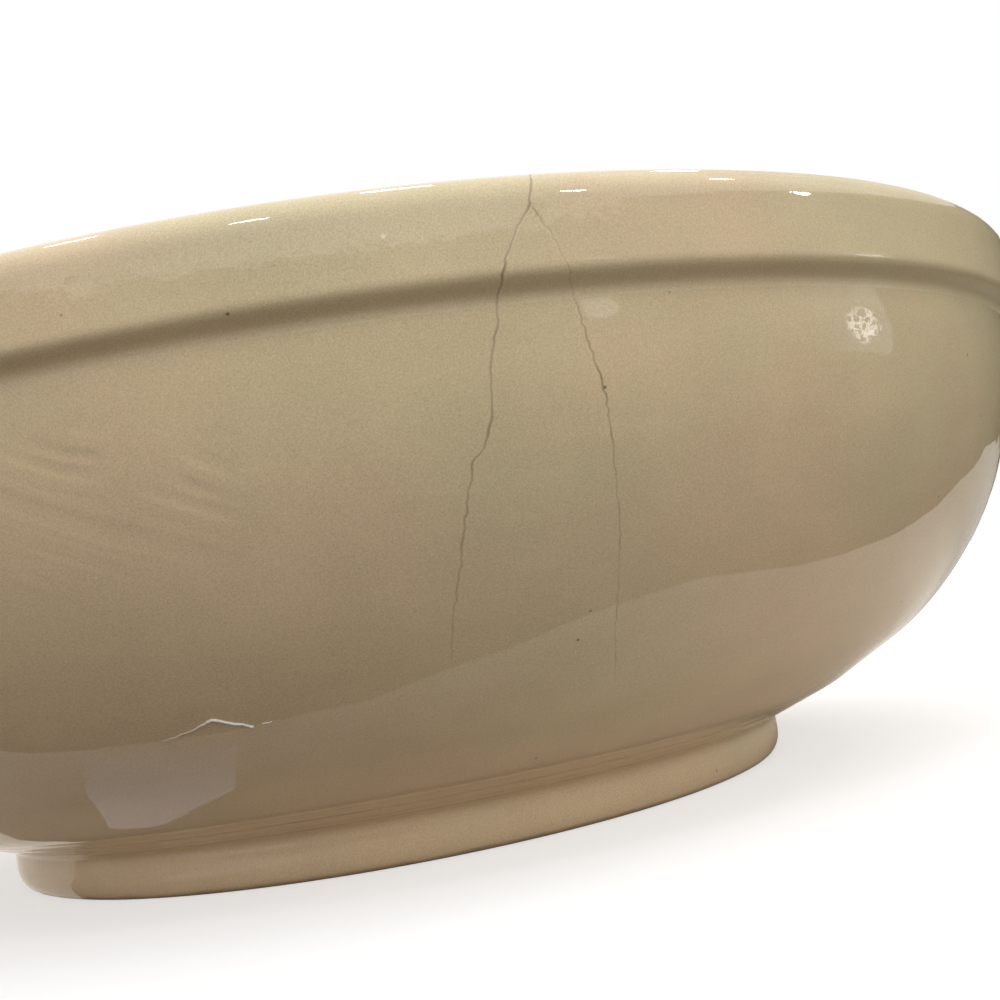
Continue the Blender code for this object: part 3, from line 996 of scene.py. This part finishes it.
def creased_material():
    """The glow of a creased sheet that the glaze mirrors at the right."""
    material, t, shader = new_material("creased_sheet")
    where = t.add("ShaderNodeTexCoord", out=3)
    shader.inputs["Base Color"].default_value = (0, 0, 0, 1)
    shader.inputs["Emission Color"].default_value = (*CREASED_COLOUR, 1)
    bent = t.vector("ADD", where, t.vector("SCALE", noise(t, where, 14.0), scale=0.06))
    crease = t.add("ShaderNodeTexVoronoi", named={"Vector": bent, "Scale": CREASE_SCALE},
                   feature="DISTANCE_TO_EDGE")
    crease = t.smooth(crease, 0.02, 0.15, 1.0, 0.0)
    spread = t.smooth(t.vector("DISTANCE", where, CREASE_MIDDLE, out=1), *CREASE_SPREAD, 1.0, 0.0)
    fade = t.smooth(t.add("ShaderNodeSeparateXYZ", where), *SHEET_FADE, 0.15, 1.0)
    fade = t.math("MULTIPLY", fade, t.smooth(noise(t, where, 9.0), 0.3, 0.6, 0.5, 1.0))
    flat_glow = t.math("MULTIPLY", fade, FLAT_GLOW)
    glow = t.math("MULTIPLY_ADD", t.math("MULTIPLY", crease, spread), CREASE_GLOW, flat_glow)
    t.plug(shader.inputs["Emission Strength"], glow)
    return material


def flat_card(name, edge, height, material):
    """A flat shape at a height, from the (x, y) of its corners."""
    return flat_mesh(name, [(x, y, height) for x, y in edge], [tuple(range(len(edge)))], material)


def standing_band(name, band, material):
    """An upright band round the bowl."""
    radius, first_deg, last_deg, parts, bottom, top = band
    corners = []
    for i in range(parts + 1):
        turn_deg = first_deg + (last_deg - first_deg) * i / parts
        turn = math.radians(turn_deg)
        for edge in (bottom, top):
            corners.append((radius * math.sin(turn), -radius * math.cos(turn), looked_up(edge, turn_deg)))
    faces = [(2 * i, 2 * i + 1, 2 * i + 3, 2 * i + 2) for i in range(parts)]
    return flat_mesh(name, corners, faces, material)


def make_stage():
    """The camera sees a plain pale floor.

    The glaze and the bowl's shaded side see a pale board in a darker room, whose edge is the line across
    the lower body. The other cards are seen only in the glaze.
    """
    g = GROUND_SIZE
    ground_edge = [(-g, -g), (g, -g), (g, g), (-g, g)]
    floor = flat_card("floor", ground_edge, 0, floor_material())
    floor.visible_diffuse = False
    floor.visible_glossy = False
    floor.visible_shadow = False
    shade = card_shade_group()
    pale = card_material("pale_board", BOARD_COLOUR, BOARD_BOUNCE, shade)
    dark = card_material("dark_room", DARK_COLOUR, DARK_COLOUR, shade)
    board = flat_card("pale_board", BOARD_EDGE, -0.0002, pale)
    ground = flat_card("dark_ground", ground_edge, -0.0004, dark)
    sheet = flat_card("creased_sheet", CREASED_EDGE, 0, creased_material())
    place = round_about(*CREASED_PLACE)
    sheet.matrix_world = Matrix.Translation(place) @ aimed(place, ROOM_MIDDLE)
    mirrored = [
        flat_card("paper", SHEET_EDGE, -0.0001, glow_material("paper", SHEET_COLOUR, SHEET_GLOW)),
        flat_card("lit_patch", LIT_EDGE, -0.0001, glow_material("lit_patch", LIT_COLOUR, LIT_GLOW)),
        standing_band("dark_wall", DARK_WALL, dark),
        standing_band("dark_strip", DARK_STRIP, dark),
        standing_band("grey_wall", GREY_WALL, glow_material("grey_wall", GREY_COLOUR, GREY_GLOW)),
        sheet,
    ]
    for card in mirrored:
        card.visible_diffuse = False
    for card in (board, ground, *mirrored):
        card.visible_camera = False
        card.visible_shadow = False
        card.visible_transmission = False


def make_world():
    """An even, soft sky that the camera and the glaze see as white."""
    world = bpy.data.worlds.new("soft_room")
    bpy.context.scene.world = world
    world.use_nodes = True
    t = Tree(world.node_tree)
    back = world.node_tree.nodes["Background"]
    back.inputs["Color"].default_value = (1, 1, 1, 1)
    seen = seen_directly(t)
    strength = t.add("ShaderNodeMapRange", seen, 0.0, 1.0, SKY_LIGHT, 1.0)
    t.plug(back.inputs["Strength"], strength)


def aimed(place, target):
    """Turns a lamp's or a camera's -Z from its place to the target."""
    return (Vector(place) - Vector(target)).to_track_quat("Z", "Y").to_matrix().to_4x4()


def area_lamp(name, place, size, watts, target=(0, 0, 0.05)):
    """A round, soft lamp that the camera doesn't see."""
    lamp = bpy.data.lights.new(name, "AREA")
    lamp.shape = "DISK"
    lamp.size = size
    lamp.energy = watts
    made = bpy.data.objects.new(name, lamp)
    made.matrix_world = Matrix.Translation(place) @ aimed(place, target)
    made.visible_camera = False
    collection.objects.link(made)
    return made


def round_about(azimuth_deg, elevation_deg, distance):
    """A place seen from the bowl at an azimuth, round from -Y towards +X, and an elevation."""
    a, e = math.radians(azimuth_deg), math.radians(elevation_deg)
    outward = Vector((math.sin(a) * math.cos(e), -math.cos(a) * math.cos(e), math.sin(e)))
    return outward * distance + Vector(ROOM_MIDDLE)


def make_lights():
    """Soft lamps that only light the bowl, and the small ones that the rim mirrors."""
    overhead = area_lamp("overhead", (0.3, -0.35, 1.6), 1.6, 9.5)
    front = area_lamp("front", round_about(20, 15, 1.3), 1.0, 2.8)
    low_left = area_lamp("low_left", round_about(-70, 2, 1.2), 0.5, 0.12, (-0.05, -0.05, 0.01))
    low_right = area_lamp("low_right", round_about(50, 2, 1.2), 0.5, 0.1, (0.06, -0.06, 0.01))
    for lamp in (overhead, front, low_left, low_right):
        lamp.visible_glossy = False
    for i, (azimuth, elevation, size, watts) in enumerate(GLINTS):
        area_lamp("ceiling_lamp_%d" % i, round_about(azimuth, elevation, GLINT_DISTANCE), size, watts)


def make_camera():
    """The camera, placed and turned as the photograph was taken."""
    camera = bpy.data.cameras.new("camera")
    camera.lens = CAMERA_LENS
    camera.sensor_width = 36.0
    camera.clip_start = 0.01
    pan, pitch, roll = CAMERA_PAN, CAMERA_PITCH, CAMERA_ROLL
    forward = Vector((math.sin(pan) * math.cos(pitch), math.cos(pan) * math.cos(pitch), math.sin(pitch)))
    right = Vector((math.cos(pan), -math.sin(pan), 0))
    up = right.cross(forward)
    across = math.cos(roll) * right + math.sin(roll) * up
    above = -math.sin(roll) * right + math.cos(roll) * up
    made = bpy.data.objects.new("camera", camera)
    turned = Matrix((across, above, -forward)).transposed().to_4x4()
    made.matrix_world = Matrix.Translation(CAMERA_PLACE) @ turned
    collection.objects.link(made)
    bpy.context.scene.camera = made


grain = grain_group()
bowl = woven_bowl(glaze_material(grain), clay_material(grain))
broken_glaze = scratch_material(grain)
scratch = raised_line("glaze_scratch", SCRATCH, SCRATCH_RADIUS, broken_glaze)
scratch_end = raised_line("glaze_scratch_end", SCRATCH_END, SCRATCH_RADIUS, broken_glaze)
for piece in (bowl, scratch, scratch_end):
    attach(piece, "root")
    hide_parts("bowl")
make_stage()
make_world()
make_lights()
make_camera()
bpy.context.view_layer.update()
